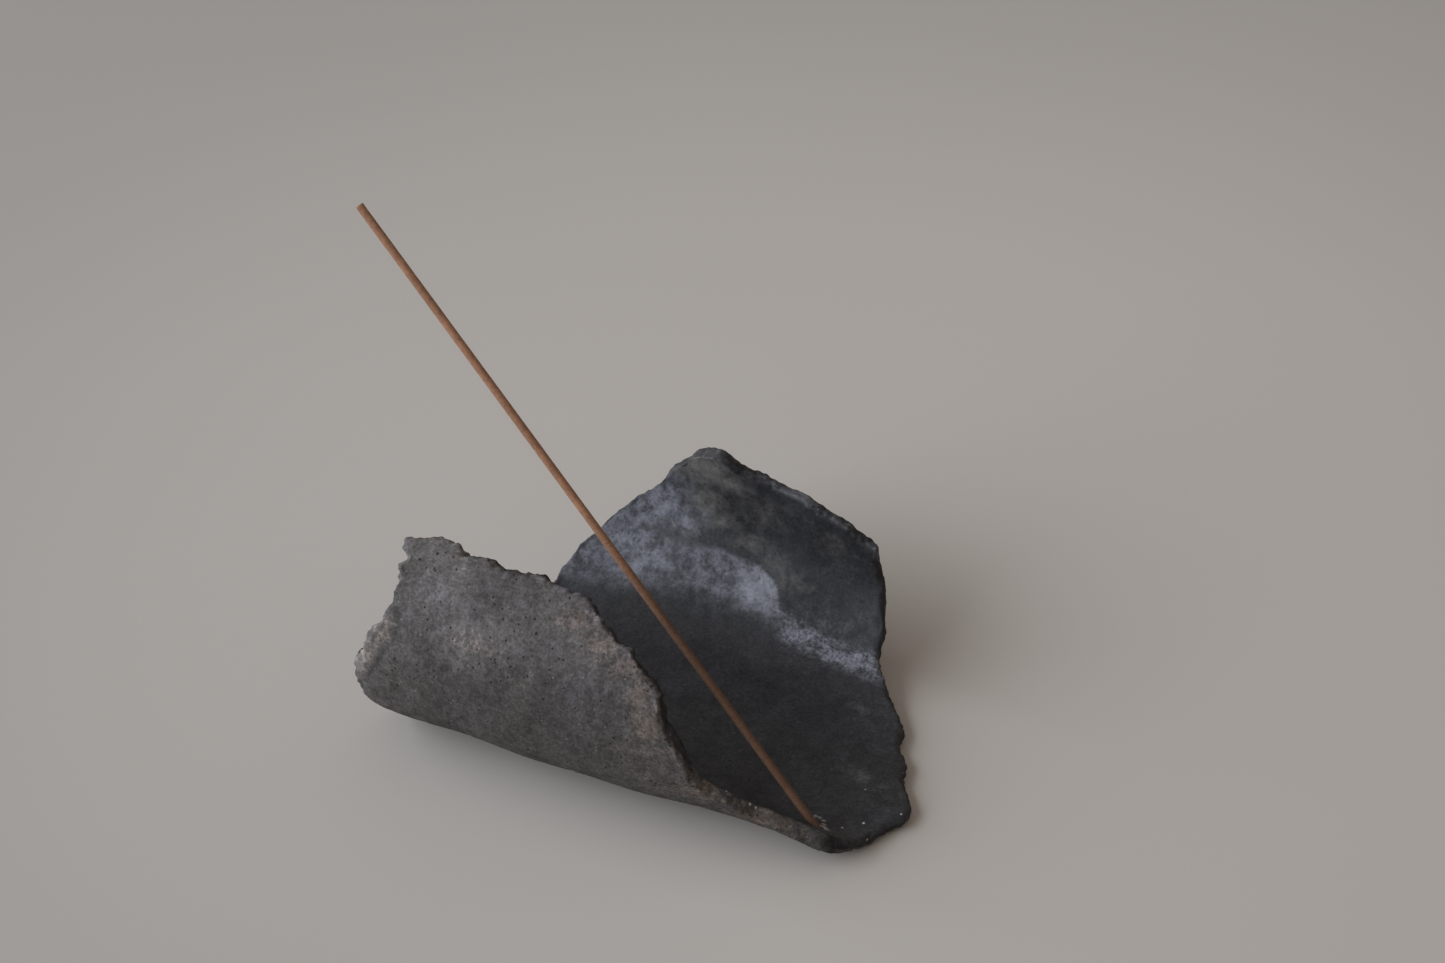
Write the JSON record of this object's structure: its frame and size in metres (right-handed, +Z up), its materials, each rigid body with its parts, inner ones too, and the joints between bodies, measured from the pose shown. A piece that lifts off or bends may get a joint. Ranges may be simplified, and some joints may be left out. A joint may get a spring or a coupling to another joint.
{
  "type": "incense burner",
  "caption": "Open trough curled from a torn slab of dark fired clay, catching the ash of a slim incense stick that leans over it from a blind hole in the low front lip.",
  "frame": {"origin": "in the flat resting face, on the middle line of the trough's floor, about half way along it", "axes": "+X along the trough towards the end with the stick hole, +Y across it towards the taller back wall, +Z up"},
  "size_m": [0.1556, 0.1069, 0.1471],
  "materials": {
    "smoked_clay": "unglazed and matte outside, burnished to a satin charcoal inside",
    "incense": "matte pressed wood powder"
  },
  "bodies": {
    "burner": {"clay_body": "smoked_clay"},
    "stick": {"incense_stick": "incense"}
  },
  "joints": [
    {"name": "stick_lift", "type": "slide", "parent": "burner", "child": "stick", "axis": [-0.6984, 0.1106, 0.7071], "range_m": [0, 0.09]}
  ]
}
